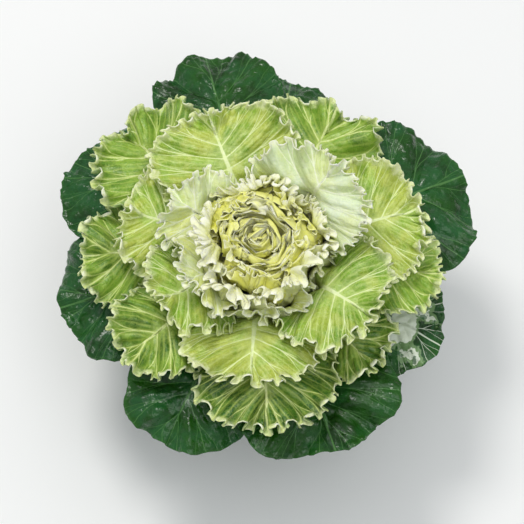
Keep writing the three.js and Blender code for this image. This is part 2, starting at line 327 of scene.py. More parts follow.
def half_outline(leaf, spacing):
    """Edge points of half a flat leaf from the stem to the tip, where their veins leave the midrib,
    and how many of them are on the stalk."""
    stalk_share, stalk_half, _ = leaf["stalk"]
    length = leaf["length"]
    stalk = stalk_share * length
    widest = stalk + WIDEST_AT * (length - stalk)
    power = 2 / BLADE_SQUARENESS
    first = -math.acos((stalk_half / leaf["half_width"]) ** (1 / power))
    angle = np.linspace(first, math.pi / 2, OUTLINE_SAMPLES)
    across = leaf["half_width"] * np.clip(np.cos(angle), 0, 1) ** power
    reach = np.where(angle < 0, widest - stalk, length - widest)
    along = widest + reach * np.sign(angle) * np.abs(np.sin(angle)) ** power
    travelled = path_length(across, along)
    columns = max(int(travelled[-1] / spacing), LEAST_COLUMNS)
    wanted = np.linspace(0, travelled[-1], columns + 1)
    rib = stalk + (MIDRIB_END * length - stalk) * (wanted / wanted[-1]) ** MIDRIB_SPACING
    stalk_columns = max(int(stalk / (STALK_COLUMN * spacing)), LEAST_STALK_COLUMNS)
    stalk_along = np.linspace(0, stalk, stalk_columns, endpoint=False)
    return (
        np.concatenate([np.full(stalk_columns, stalk_half), np.interp(wanted, travelled, across)]),
        np.concatenate([stalk_along, np.interp(wanted, travelled, along)]),
        np.concatenate([stalk_along, rib]),
        stalk_columns,
    )


def row_shares(rows):
    """Shares of the way from the midrib to the edge, closer together at both ends."""
    even = np.linspace(0, 1, rows + 1)
    crowded = 0.5 - 0.5 * np.cos(math.pi * even ** ROW_SHIFT)
    return (1 - ROW_CROWDING) * even + ROW_CROWDING * crowded


class Blade:
    """The grid of a leaf: x across, y along, and each column a row of numbers from midrib to edge."""

    def __init__(self, leaf, rng):
        spacing, rows = leaf["grid"]
        edge_across, edge_along, rib_along, stalk_columns = half_outline(leaf, spacing)
        half = len(edge_across) - 1
        order = np.concatenate([np.arange(half + 1), np.arange(half - 1, -1, -1)])
        edge_x = np.sign(np.arange(2 * half + 1) - half) * edge_across[order]
        edge_y = edge_along[order]
        rib_y = rib_along[order]

        self.rows = rows
        self.half = half
        self.travelled = path_length(edge_x, edge_y)
        self.edge_length = self.travelled[-1] - 2 * leaf["stalk"][0] * leaf["length"]
        self.share = np.clip((order - stalk_columns) / (half - stalk_columns), 0, 1)
        self.fade = smooth_step(self.share, 0, BLADE_START)[:, None]  # 0 on the stalk, 1 on the blade
        self.row = row_shares(rows)[None, :]

        change = self.outline_change(leaf, int(rng.integers(1 << 30)), rng)
        flat_reach = np.hypot(edge_x, edge_y - rib_y)
        stretch = 1 + self.fade[:, 0] * change / np.maximum(flat_reach, LEAST_REACH)
        column_x = edge_x * stretch
        column_y = (edge_y - rib_y) * stretch
        reach = np.hypot(column_x, column_y)
        bow = VEIN_BOW * (self.fade * reach[:, None]) * 4 * self.row * (1 - self.row)
        self.x = column_x[:, None] * self.row
        self.y = rib_y[:, None] + column_y[:, None] * self.row - bow
        self.inset = reach[:, None] * (1 - self.row)  # distance from the edge
        self.flat_x = self.x
        self.flat_y = self.y
        self.from_rib = np.abs(self.x)
        self.progress = np.clip(self.y / leaf["length"], 0, 1)

        slope = np.stack([np.gradient(edge_x, self.travelled), np.gradient(edge_y, self.travelled)])
        self.edge_way = slope / np.hypot(*slope)
        self.out_way = np.stack([column_x, column_y]) / np.maximum(reach, 1e-6)

    def outline_change(self, leaf, seed, rng):
        """How far the outline moves out, by rounded lobes with narrow bays between them."""
        wavelength, depth = leaf["lobes"]
        amount, size = LOBE_DRIFT
        drift = along_noise(self.travelled, 0, amount, size * wavelength, seed)
        phase = math.pi * self.travelled / wavelength + drift + rng.uniform(0, math.pi)
        bays = (1 - np.abs(np.sin(phase))) ** BAY_SHARPNESS
        mean, change, size = BAY_SIZE
        bays *= along_noise(self.travelled, mean, change, size * wavelength, seed + 1)
        teeth = (1 - np.abs(np.sin(TEETH * phase + TOOTH_SHIFT))) ** TOOTH_SHARPNESS
        slow = along_noise(self.travelled, 0, *SLOW_CHANGE, seed + 2)
        return depth * (LOBE_SIZE - bays - TOOTH_SIZE * teeth + slow)

    def move(self, along, outward):
        """Moves the grid along the edge and outwards along its columns."""
        self.x = self.x + along * self.edge_way[0][:, None] + outward * self.out_way[0][:, None]
        self.y = self.y + along * self.edge_way[1][:, None] + outward * self.out_way[1][:, None]


# ---- Ruffles, veins and blisters ----

RUFFLE_DRIFTS = ((2.6, 2.2), (0.8, 0.9))  # of its phase: amount, and size in wavelengths
RUFFLE_STRENGTH = (0.68, 0.5, 1.7)  # mean, change, and the change's size in wavelengths
RUFFLE_LIMITS = (0.2, 1.1)
RUFFLE_SHAPE = 1.4  # how fast a ruffle dies away from the edge, as a power
OVERHANG = 0.5  # sideways swing of a ruffle, as a share of its height: it makes the folds bulge
CURL = 0.6  # how far the rim of a crest curls back over the blade
CURL_DROP = 0.35  # how far that curl comes down again
CURL_REACH = 0.42  # reach of that curl, as a share of the ruffle's own
MARGIN_SHAPE = 1.5  # how fast the turned-up margin flattens away from the edge, as a power
MARGIN_DRAW = 0.5  # how far it draws in, as a share of how far it is turned up
SLANT_REACH = 2  # reach of its slant, as a multiple of its own
SWAY_GROWTH = (0.15, 0.9)  # shares of the length where the sway starts and is full
SWAY_WAVES = ((33, 1, 11), (16, 0.5, 0))  # two orders of sway: size, share and shift of the noise
ROLL_STRENGTH = (0.6, 0.6, 19)  # mean, change, and the change's size
ROLL_REACH = 5
VEIN_JITTER = 0.2  # how far the root of a side vein is off its even place
VEIN_FAN = 0.8  # share of the leaf's length along which the side veins leave the midrib
FORK_START = 0.35  # share of the way to the edge where a side vein forks
FORK_SPREAD = 0.3  # how far its forks end from it, as a share of the room between side veins
BLISTER_BEND = (9, 2)  # bends in the grooves between blisters: size and amount
BLISTER_FLANK = 0.55  # distance from a groove to a blister's flat top, in cells
BLISTER_MARGINS = ((0.0, 2.2), (0.5, 4))  # where blisters rise beside a side vein and the midrib
PLEAT_MARGINS = ((0.0, 6.0), (1, 9))  # and where pleats do
GROOVE_WIDTH = 0.3  # of the grooves between blisters, in cells


def ruffle(travelled, wavelength, rng):
    """One order of ruffle along the edge: its phase and its strength."""
    seed = int(rng.integers(1 << 30))
    phase = FULL_TURN * travelled / wavelength
    for order, (amount, size) in enumerate(RUFFLE_DRIFTS):
        phase = phase + along_noise(travelled, 0, amount, size * wavelength, seed + order)
    mean, change, size = RUFFLE_STRENGTH
    strength = along_noise(travelled, mean, change, size * wavelength, seed + 2)
    return phase + rng.uniform(0, FULL_TURN), np.clip(strength, *RUFFLE_LIMITS)


def ruffled(leaf, blade, rng):
    """Moves the grid sideways with the ruffles. Returns how far they lift it and where they crest.

    The margin is turned up, so that its finer ruffles swing in and out as much as up and down.
    """
    upturn, upturn_reach, tilt = leaf["margin"]
    lift = upturn * (blade.fade * np.exp(-((blade.inset / upturn_reach) ** MARGIN_SHAPE)))
    outward = -MARGIN_DRAW * lift
    along = np.zeros_like(lift)
    crests = np.zeros_like(lift)
    slant = math.radians(tilt) * np.exp(-((blade.inset / (SLANT_REACH * upturn_reach)) ** 2))
    for order, (wavelength, height, depth) in enumerate(leaf["ruffles"]):
        phase, strength = ruffle(blade.travelled, wavelength, rng)
        size = strength[:, None] * blade.fade * height
        wave = np.sin(phase)[:, None]
        near = size * np.exp(-((blade.inset / depth) ** RUFFLE_SHAPE))
        if order == 0:
            lift += near * wave
            continue
        rim = size * np.exp(-((blade.inset / (CURL_REACH * depth)) ** 2))
        crest = np.maximum(wave, 0)
        crests = np.maximum(crests, rim / height * crest ** 2)
        order_slant = slant * (order / 2) ** 2
        lift += near * wave * np.cos(order_slant) - CURL_DROP * rim * crest ** 2
        outward -= near * wave * np.sin(order_slant) + CURL * rim * crest
        along -= OVERHANG * near * np.sin(2 * phase)[:, None]
    blade.move(along, outward)
    return lift, crests


def sway(leaf, blade, seed):
    """Slow sway of the whole blade, stronger towards the tip."""
    waves = [
        share * smooth_noise(blade.flat_x / size + shift, blade.flat_y / size, seed + order)
        for order, (size, share, shift) in enumerate(SWAY_WAVES)
    ]
    return leaf["sway"] * smooth_step(blade.flat_y / leaf["length"], *SWAY_GROWTH) * sum(waves)


def edge_roll(leaf, blade, seed):
    """How far the edge rolls down."""
    rolled = along_noise(blade.travelled, *ROLL_STRENGTH, seed)
    return leaf["roll"] * (blade.fade * rolled[:, None]) * np.exp(-blade.inset / ROLL_REACH)


def vein_count(leaf, blade, rng):
    """Counts the side veins along each half of the leaf: one runs at every whole number and a half."""
    count = leaf["veins"]
    numbers = np.arange(count) + 0.5
    halves = []
    for _ in range(2):
        roots = (numbers + rng.uniform(-VEIN_JITTER, VEIN_JITTER, count)) / count
        halves.append(np.interp(blade.share, [0, *roots, 1], [0, *numbers, count]))
    return np.concatenate([halves[0][:blade.half], halves[1][blade.half:]])[:, None]


def vein_room(leaf, blade):
    """Distance from one side vein to the next."""
    at_edge = blade.row * blade.edge_length / 2
    return (at_edge + (1 - blade.row) * VEIN_FAN * leaf["length"]) / leaf["veins"]


def vein_distance(counted, row, room):
    """Distance in millimetres to the nearest side vein or to one of its two forks."""
    off_vein = np.abs(counted - np.floor(counted) - 0.5)
    off_fork = np.abs(off_vein - FORK_SPREAD * smooth_step(row, FORK_START, 1))
    return np.minimum(off_vein, off_fork) * room


def blister_cells(leaf, blade, seed):
    """Distance to the nearest groove between blisters, in cells."""
    cell, _ = leaf["blisters"]
    wave, amount = BLISTER_BEND
    bent_x, bent_y = (
        flat + amount * smooth_noise(blade.flat_x / wave, blade.flat_y / wave, seed + 5 + axis)
        for axis, flat in enumerate((blade.flat_x, blade.flat_y))
    )
    return cell_edges(bent_x / cell, bent_y / cell, seed + 3)


def puckers(leaf, blade, vein, cells):
    """How far blisters and pleats lift the blade, both between the veins, which lie in grooves."""
    height = 0
    for amount, (beside_vein, beside_rib) in (
        (leaf["blisters"][1] * smooth_step(cells, 0.0, BLISTER_FLANK), BLISTER_MARGINS),
        (leaf["pleat"], PLEAT_MARGINS),
    ):
        raised = smooth_step(vein, *beside_vein) * smooth_step(blade.from_rib, *beside_rib)
        height = height + blade.fade * amount * raised
    return height


# ---- Closed leaf sheets ----

EASE_REACH = 9  # columns on either side over which a lowered place is eased
EASE_PASSES = 6
RIB_TAPER = 0.85  # share of the rib's depth lost from the stem to the tip
RIB_NARROWING = 0.8  # power by which it narrows
RIB_END = 0.5  # its half width at the tip
RIB_TOP = 0.18  # share of its depth that stands above the blade
RIM_ROUNDING = 0.55  # share of the blade's thickness that is left at its very edge
RIM_REACH = 1.2  # how far in from the edge the blade is thinner
RIDGE_DEPTH = 0.3  # of a side vein under the blade
RIDGE_TAPER = 0.6  # share of that depth lost from the midrib to the edge
RIDGE_WIDTH = 0.8
NO_EDGE = 20  # distance from the edge that the stalk counts as
LEAST_SPACING = 1.0  # least room between two rings that is reckoned with
CLEARANCE = 0.5  # least room between two leaves


def thickness(leaf, blade, vein):
    """How far the leaf reaches above and below its middle: a round rib, side veins and a thin edge."""
    _, stalk_half, rib_depth = leaf["stalk"]
    rib_half = stalk_half * (1 - blade.progress) ** RIB_NARROWING + RIB_END
    round_rib = np.sqrt(np.clip(1 - (blade.from_rib / rib_half) ** 2, 0, 1))
    rib = rib_depth * (1 - RIB_TAPER * blade.progress) * round_rib
    thin = RIM_ROUNDING + (1 - RIM_ROUNDING) * smooth_step(blade.inset, 0, RIM_REACH)
    half_blade = 0.5 * leaf["blade"] * np.maximum(thin, 1 - blade.fade)
    ridge_depth = RIDGE_DEPTH * blade.fade * (1 - RIDGE_TAPER * blade.row)
    ridge = ridge_depth * np.exp(-((vein / RIDGE_WIDTH) ** 2))
    return half_blade + RIB_TOP * rib, half_blade + rib + ridge


def eased(excess):
    """A smooth sheet that covers a leaf's excess everywhere and dies away round it."""
    window = 2 * EASE_REACH + 1
    cover = excess
    for _ in range(EASE_PASSES):
        padded = np.pad(cover, ((EASE_REACH, EASE_REACH), (1, 1)), mode="edge")
        total = np.cumsum(np.pad(padded, ((1, 0), (0, 0))), axis=0)
        wide = (total[window:] - total[:-window]) / window
        cover = np.maximum(excess, (wide[:, :-2] + wide[:, 1:-1] + wide[:, 2:]) / 3)
        cover[:, 0] = np.maximum(cover[:, 0], cover[::-1, 0])
    return cover


def laid(leaf, blade, lift, above, below, ceiling):
    """The middle of the sheet on its layer, lowered where it would meet a leaf above."""
    layer = Layer(leaf["place"])
    middle_radius, _, middle_rise = layer.at(blade.y)
    flatness = np.maximum(np.cos(middle_rise), LEAST_FLATNESS)
    to_apex = middle_radius / flatness
    distance = blade.y + np.hypot(to_apex, blade.x) - to_apex
    turn = math.radians(leaf["azimuth"]) - np.arctan2(blade.x, to_apex) / flatness
    gap = np.maximum(layer_spacing(leaf["place"], distance), LEAST_SPACING)
    headroom = ceiling.room(leaf["place"], turn, distance, gap) - CLEARANCE - above
    lift = lift - eased(np.maximum(lift - headroom, 0))
    ceiling.add(leaf["place"], turn, distance, gap, lift - below)
    radius, height, rise = layer.at(distance)
    radius = radius - lift * np.sin(rise)
    height = height + lift * np.cos(rise)
    points = np.stack([radius * np.cos(turn), radius * np.sin(turn), height], -1)
    return crumpled(leaned(points)).reshape(-1, 3)


def grid_faces(half, rows):
    """Vertex numbers of the fan grid, whose two halves share the midrib, and its four-sided faces."""
    number = np.arange((2 * half + 1) * (rows + 1)).reshape(-1, rows + 1)
    number[half + 1:, 0] = number[:half, 0][::-1]
    quads = np.stack([number[:-1, :-1], number[1:, :-1], number[1:, 1:], number[:-1, 1:]], -1)
    return number, quads.reshape(-1, 4)


def vertex_normals(points, quads):
    """The way out of the surface at each point."""
    face = np.cross(points[quads[:, 2]] - points[quads[:, 0]], points[quads[:, 3]] - points[quads[:, 1]])
    normals = np.zeros_like(points)
    for corner in range(4):
        np.add.at(normals, quads[:, corner], face)
    return normals / np.maximum(np.linalg.norm(normals, axis=1, keepdims=True), 1e-9)


def closed_faces(number, quads, count):
    """Faces of the upper side, the lower side, and the rim and stalk ends between them."""
    bands = [
        np.stack([line[:-1], line[1:], line[1:] + count, line[:-1] + count], -1)
        for line in (number[:, -1], number[0], number[-1])
    ]
    bands[-1] = bands[-1][:, [1, 0, 3, 2]]
    return np.concatenate([quads, quads[:, ::-1] + count, *bands])


def leaf_sheet(leaf, ceiling):
    """A closed leaf: vertices, faces and what its material reads at each vertex."""
    rng = np.random.default_rng(leaf["seed"])
    blade = Blade(leaf, rng)
    seed = int(rng.integers(1 << 30))
    lift, crests = ruffled(leaf, blade, rng)
    counted = vein_count(leaf, blade, rng)
    room = vein_room(leaf, blade)
    vein = vein_distance(counted, blade.row, room)
    cells = blister_cells(leaf, blade, seed)
    lift += sway(leaf, blade, seed + 1) - edge_roll(leaf, blade, seed)
    lift += puckers(leaf, blade, vein, cells)
    above, below = thickness(leaf, blade, vein)
    points = laid(leaf, blade, lift, above, below, ceiling)

    number, quads = grid_faces(blade.half, blade.rows)
    normals = vertex_normals(points, quads)
    used = np.unique(number)
    renumber = np.zeros(len(points), dtype=int)
    renumber[used] = np.arange(len(used))
    top = (points + normals * above.reshape(-1, 1))[used]
    bottom = (points - normals * below.reshape(-1, 1))[used]
    faces = closed_faces(renumber[number], renumber[quads], len(used))

    marks = {
        "vein_count": counted,
        "vein_room": room,
        "edge_mm": np.where(blade.fade > 0, blade.inset, NO_EDGE),
        "crest": crests,
        "rib_mm": blade.from_rib,
        "progress": blade.progress,
        "fan_mm": blade.travelled[:, None],
        "spread": blade.row,
        "groove": 1 - smooth_step(cells, 0.0, GROOVE_WIDTH),
        "tint": leaf["tint"],
    }
    for mark, values in marks.items():
        marks[mark] = np.tile(np.broadcast_to(values, blade.x.shape).reshape(-1)[used], 2)
    marks["under"] = np.repeat([0, 1], len(used))
    return np.concatenate([top, bottom]), [faces], marks


# ---- Turned shapes, crumbs and pieces ----

CRUMB_DENT = 0.28
CRUMB_WIDTHS = (0.6, 0.95)  # as shares of the length
BEND_STEPS = 5


def rounded(corners):
    """A profile through corners (radius, height, rounding), each rounded but the first and last."""
    profile = [np.array(corners[0][:2], dtype=float)]
    for before, here, after in zip(corners, corners[1:], corners[2:]):
        middle = np.array(here[:2], dtype=float)
        ends = []
        for other in (before, after):
            way = np.array(other[:2], dtype=float) - middle
            ends.append(middle + way / np.linalg.norm(way) * here[2])
        for t in np.linspace(0, 1, BEND_STEPS + 1):
            profile.append((1 - t) ** 2 * ends[0] + 2 * t * (1 - t) * middle + t * t * ends[1])
    profile.append(np.array(corners[-1][:2], dtype=float))
    return np.array(profile)


def filled_in(profile, spacing):
    """The profile with points added wherever two are further apart than the spacing."""
    points = [profile[0]]
    for start, end in zip(profile, profile[1:]):
        pieces = max(math.ceil(np.linalg.norm(end - start) / spacing), 1)
        points.extend(start + (end - start) * i / pieces for i in range(1, pieces + 1))
    return np.array(points)


def turned(profile, segments):
    """Points and faces of a profile turned round the axis; it starts and ends on the axis."""
    turn = np.arange(segments) * FULL_TURN / segments
    inner = profile[1:-1]
    heights = np.repeat(inner[:, 1:], segments, axis=1)
    rings = np.stack([inner[:, :1] * np.cos(turn), inner[:, :1] * np.sin(turn), heights], -1)
    number = np.arange(len(inner) * segments).reshape(-1, segments)
    following = np.roll(number, -1, axis=1)
    quads = np.stack([number[:-1], following[:-1], following[1:], number[1:]], -1).reshape(-1, 4)
    first = number.size
    start_cap = np.stack([np.full(segments, first), following[0], number[0]], -1)
    end_cap = np.stack([np.full(segments, first + 1), number[-1], following[-1]], -1)
    poles = np.array([(0, 0, profile[0][1]), (0, 0, profile[-1][1])])
    return np.concatenate([rings.reshape(-1, 3), poles]), [quads, start_cap, end_cap]


def swollen(points, change):
    """The points of a turned shape moved out by a change of radius."""
    radius = np.hypot(points[:, 0], points[:, 1])
    moved = points.copy()
    moved[:, :2] *= (1 + change / np.maximum(radius, 1))[:, None]
    return moved


def joined(shapes):
    """Several shapes with the same kinds of faces and the same marks as one."""
    points, faces, marks = zip(*shapes)
    starts = np.cumsum([0, *map(len, points)])
    groups = [
        np.concatenate([part + start for part, start in zip(kind, starts)])
        for kind in zip(*faces)
    ]
    all_marks = {key: np.concatenate([part[key] for part in marks]) for key in marks[0]}
    return np.concatenate(points), groups, all_marks


def crumbs(centres, sizes, flatness, seed):
    """Small closed lumps as one mesh, each turned and dented its own way."""
    ball = bmesh.new()
    bmesh.ops.create_icosphere(ball, subdivisions=2, radius=1)
    shape = np.array([v.co for v in ball.verts])
    corners = np.array([[v.index for v in f.verts] for f in ball.faces])
    ball.free()
    rng = np.random.default_rng(seed)
    lumps = []
    for centre, size in zip(centres, sizes):
        dented = shape * (1 + rng.uniform(-CRUMB_DENT, CRUMB_DENT, (len(shape), 1)))
        axes, _ = np.linalg.qr(rng.normal(size=(3, 3)))
        if np.linalg.det(axes) < 0:
            axes[:, 0] = -axes[:, 0]
        stretched = dented * (1, rng.uniform(*CRUMB_WIDTHS), flatness)
        lumps.append((stretched @ axes.T * size + centre, [corners], {}))
    return joined(lumps)


def make_piece(name, points, faces, marks):
    """A mesh object from millimetre points, arrays of faces and float values at each vertex."""
    sizes = np.concatenate([np.full(len(part), part.shape[1]) for part in faces])
    corners = np.concatenate([part.ravel() for part in faces])
    starts = np.concatenate([[0], np.cumsum(sizes)[:-1]])
    mesh = bpy.data.meshes.new(name)
    mesh.vertices.add(len(points))
    mesh.vertices.foreach_set("co", (points * MM).astype(np.float32).ravel())
    mesh.loops.add(len(corners))
    mesh.loops.foreach_set("vertex_index", corners.astype(np.int32))
    mesh.polygons.add(len(sizes))
    mesh.polygons.foreach_set("loop_start", starts.astype(np.int32))
    mesh.polygons.foreach_set("use_smooth", np.ones(len(sizes), dtype=bool))
    mesh.update(calc_edges=True)
    for mark, values in marks.items():
        mesh.attributes.new(mark, "FLOAT", "POINT").data.foreach_set("value", values.astype(np.float32))
    piece = bpy.data.objects.new(name, mesh)
    bpy.context.scene.collection.objects.link(piece)
    return piece


def finish_piece(piece, material, slot, *nodes):
    """Gives a piece its material and body, and hides the CAD nodes that it replaces; the slot is not
    used.
    """
    piece.data.materials.append(material)
    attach(piece, BODY)
    if nodes:
        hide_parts(*nodes)


# ---- Leaf materials ----

VEIN_WANDER = 0.1  # how far a side vein wanders, as a share of the room between side veins

# The looks of the leaves, in the order of the rings; the two heart rings share one. Reaches and
# spacings are in millimetres, and a strength is how much of its colour covers what is below it.
LOOKS = {look["name"]: look for look in by_column(dict(
    name=["heart_leaf", "cup_leaf", "cream_leaf", "lime_leaf", "frilled_leaf", "outer_leaf"],
    blade=["eef194", "e8ecb0", "dbe8c8", "8fb638", "417020", "1e510f"],
    deep=["e9e656", "e2e27e", "cfdfa6", "709a28", "28541a", "12360a"],  # in patches
    other=["f4f5ae", "ecefc2", "d6dc80", "b2be50", "84aa3a", "22592c"],  # by the leaf's tint
    blotch=[0.3, 0.3, 0.45, 0.6, 0.4, 0.5],  # how far blotches change that tint
    base=["dbd222", "d0c826", "bfc64c", "a2b648", "94b044", "31611f"],
    base_fade=[(0.25, 0.8), (0.1, 0.6), (0.1, 0.6), (0.15, 0.5), (0.1, 0.5), (0.1, 0.5)],
    edge=["f9f9d6", "f7f7de", "f4f5d8", "f0f4c8", "e6eeb8", "2f6224"],
    edge_reach=[4.2, 10.0, 5.0, 7.0, 5.0, 2.0],
    edge_strength=[0.9, 0.9, 0.95, 0.95, 0.9, 0.5],
    vein=["f4f5c0", "eff1ca", "edf4d4", "d6e490", "c3d46c", "32622a"],
    halo_reach=[1.0, 1.1, 1.2, 1.0, 1.5, 0.8],  # round the side veins
    halo_strength=[0.3, 0.35, 0.4, 0.6, 0.65, 0.3],
    net_strength=[0.12, 0.15, 0.2, 0.25, 0.2, 0.12],  # of the fine veins between them
    fan_strength=[0.25, 0.3, 0.3, 0.36, 0.38, 0.15],  # of the fine veins that run to the edge
    fan_spacing=[3.2, 3.6, 4.2, 3.4, 3.8, 5.0],
    rib=["f6f6c8", "f2f3d2", "f2f6de", "e6f0b8", "dfe9a2", "4f7d42"],
    tip=["fdfce6", "fdfdec", "fcfdf0", "f9fbe2", "f8fbde", "3a6e2c"],  # painted highlights, on the crests of ruffles
    crest_highlight_strength=[0.7, 0.8, 0.85, 0.9, 0.9, 0.3],
    fleck=["b9ad52", "b0a04c", "a9b04a", "a58f4a", "8f8a3c", "2c5a20"],
    under=["efee70", "e2e69c", "dde6ac", "c6d88c", "a3c07c", "6b9069"],
    under_strength=[0.7, 0.5, 0.5, 0.6, 0.6, 0.8],
    relief=[0.3, 0.35, 0.4, 0.5, 0.5, 0.3],  # of the fine veins
    crinkle=[0.35, 0.4, 0.45, 0.5, 0.5, 0.25],
    quilt=[0, 0, 0, 0, 0, 0.6],
    roughness=[(0.32, 0.5), (0.32, 0.48), (0.38, 0.52), (0.33, 0.48), (0.32, 0.46), (0.16, 0.32)],
    shine=[0.45, 0.45, 0.4, 0.45, 0.45, 0.36],
    translucence=[0.4, 0.4, 0.4, 0.3, 0.25, 0.05],
))}
LOOKS["outer_leaf_variegated"] = dict(
    LOOKS["outer_leaf"], white="dbe3d0", milky="7c9d68", rib="d3ddc8", base="b9c6a9",
)


def srgb(code):
    """A colour from its six-figure code, as linear light."""
    parts = [int(code[i:i + 2], 16) / 255 for i in (0, 2, 4)]
    return (*[p / 12.92 if p < 0.04045 else ((p + 0.055) / 1.055) ** 2.4 for p in parts], 1)


class Shader:
    """A short way to write node trees: most methods add a node and return its output."""

    def __init__(self, name, colour):
        self.material = bpy.data.materials.new(name)
        self.material.use_nodes = True
        self.tree = self.material.node_tree
        self.tree.nodes.clear()
        self.colour = colour

    def add(self, kind, inputs, output=0, **settings):
        node = self.tree.nodes.new("ShaderNode" + kind)
        for key, value in settings.items():
            setattr(node, key, value)
        for socket, value in inputs.items():
            if isinstance(value, bpy.types.NodeSocket):
                self.tree.links.new(value, node.inputs[socket])
            else:
                node.inputs[socket].default_value = value
        return node.outputs[output] if node.outputs else None

    def mark(self, name):
        return self.add("Attribute", {}, "Fac", attribute_name=name)

    def place(self):
        return self.add("TexCoord", {}, "Object")

    def height(self):
        return self.add("SeparateXYZ", {"Vector": self.place()}, "Z")

    def squeezed(self, x, y, z):
        return self.add("Mapping", {"Vector": self.place(), "Scale": (x, y, z)})

    def noise(self, scale, detail=2.0, roughness=0.5, vector=None):
        inputs = {"Scale": scale, "Detail": detail, "Roughness": roughness}
        return self.add("TexNoise", {"Vector": vector or self.place(), **inputs}, "Fac")

    def cells(self, scale, feature="DISTANCE_TO_EDGE"):
        inputs = {"Vector": self.place(), "Scale": scale}
        return self.add("TexVoronoi", inputs, "Distance", feature=feature)

    def ramp(self, value, low, high, start=0.0, end=1.0):
        inputs = {0: value, 1: low, 2: high, 3: start, 4: end}
        return self.add("MapRange", inputs, interpolation_type="SMOOTHSTEP")

    def math(self, operation, first, second=0.0):
        return self.add("Math", {0: first, 1: second}, operation=operation)

    def plus(self, first, second):
        return self.math("ADD", first, second)

    def times(self, first, second):
        return self.math("MULTIPLY", first, second)

    def mix(self, share, first, second):
        return self.add("Mix", {"Factor": share, 6: first, 7: second}, 2, data_type="RGBA")

    def paint(self, code, share):
        """Lays a colour over what is painted so far."""
        self.colour = self.mix(share, self.colour, srgb(code))

    def bump(self, height, strength, depth_mm, normal=None):
        inputs = {"Strength": strength, "Distance": depth_mm * MM, "Height": height}
        if normal:
            inputs["Normal"] = normal
        return self.add("Bump", inputs, "Normal")

    def surface(self, inputs):
        """The finished material, in the painted colour."""
        shader = self.add("BsdfPrincipled", {"Base Color": self.colour, **inputs}, "BSDF")
        self.add("OutputMaterial", {"Surface": shader})
        return self.material


def fan_veins(s, spacing):
    """Distance in millimetres to the nearest fine vein, which run to the edge like fan ribs."""
    ribs = s.plus(s.math("DIVIDE", s.mark("fan_mm"), spacing), s.times(s.noise(70, 2), 0.9))
    return s.times(s.math("PINGPONG", ribs, 0.5), s.times(s.mark("spread"), spacing))


def side_veins(s):
    """Distance in millimetres to the nearest side vein or fork, which get thinner to the edge."""
    spread = s.mark("spread")
    counted = s.math("FRACT", s.plus(s.mark("vein_count"), s.times(s.noise(90, 2), VEIN_WANDER)))
    off_vein = s.math("ABSOLUTE", s.math("SUBTRACT", counted, 0.5 + VEIN_WANDER / 2))
    opened = s.ramp(spread, FORK_START, 1.0, 0.0, FORK_SPREAD)
    off_fork = s.math("ABSOLUTE", s.math("SUBTRACT", off_vein, opened))
    nearest = s.math("MINIMUM", off_vein, s.times(off_fork, 1.5))
    return s.times(s.times(nearest, s.mark("vein_room")), s.ramp(spread, 0.0, 1.0, 0.75, 1.7))


def paint_blade(s, look, edge, progress):
    """Patches and blotches of the blade's colours, then the base and the edge."""
    s.paint(look["deep"], s.ramp(s.noise(45, 3), 0.38, 0.62))
    blotches = s.ramp(s.noise(62, 3, 0.6), 0.35, 0.65, -look["blotch"], look["blotch"])
    s.paint(look["other"], s.plus(s.mark("tint"), blotches))
    s.paint(look["base"], s.ramp(progress, *look["base_fade"], 1, 0))
    reach = look["edge_reach"]
    wander = s.times(s.math("SUBTRACT", s.noise(190, 3, 0.6), 0.5), reach * 2.4)
    s.paint(look["edge"], s.ramp(s.plus(edge, wander), 0.0, reach, look["edge_strength"], 0))


def paint_veins(s, look, net, fan, rib, progress):
    """The net and the fan of fine veins, the side veins with their halo, and the midrib."""
    vein = side_veins(s)
    s.paint(look["vein"], s.ramp(net, 0.0, 0.1, look["net_strength"], 0))
    s.paint(look["vein"], s.times(s.mark("groove"), look["net_strength"]))
    s.paint(look["vein"], s.ramp(fan, 0.05, 0.5, look["fan_strength"], 0))
    s.paint(look["vein"], s.ramp(vein, 0.1, look["halo_reach"], look["halo_strength"], 0))
    s.paint(look["rib"], s.ramp(vein, 0.12, 0.5, 0.85, 0))
    rib_width = s.ramp(progress, 0.0, 1.0, 3.2, 0.5)
    s.paint(look["rib"], s.ramp(s.math("DIVIDE", rib, rib_width), 0.45, 1.0, 0.95, 0))


def paint_variegation(s, look, edge, rib, progress):
    """A white part with a milky border, mostly along the midrib, and green spots in it."""
    inner = s.plus(s.ramp(rib, 0.0, 22.0, 0.16, 0), s.ramp(edge, 0.0, 9.0, -0.12, 0))
    tip = s.times(s.ramp(progress, 0.79, 0.9, 0, -0.28), s.ramp(rib, 4.0, 13.0, 1, 0))
    place = s.plus(s.noise(46, 4, 0.62), s.plus(inner, tip))
    s.paint(look["milky"], s.ramp(place, 0.5, 0.53, 0, 0.8))
    s.paint(look["white"], s.ramp(place, 0.57, 0.59))
    s.paint(look["other"], s.times(s.ramp(s.noise(190, 3), 0.6, 0.63), 0.75))


def paint_details(s, look, edge):
    """Painted highlights on the ruffles' crests, small flecks, most of them at the edge, and the
    underside.
    """
    # painted highlights: a pale colour where the ruffles crest and catch the light
    crest_highlights = s.times(s.ramp(s.mark("crest"), 0.25, 0.75), s.ramp(s.noise(140, 2), 0.4, 0.55))
    s.paint(look["tip"], s.times(crest_highlights, look["crest_highlight_strength"]))
    flecks = s.times(s.ramp(s.noise(520, 1), 0.66, 0.72), s.ramp(edge, 1.0, 6.0, 0.4, 0.05))
    s.paint(look["fleck"], flecks)
    s.paint(look["under"], s.times(s.mark("under"), look["under_strength"]))


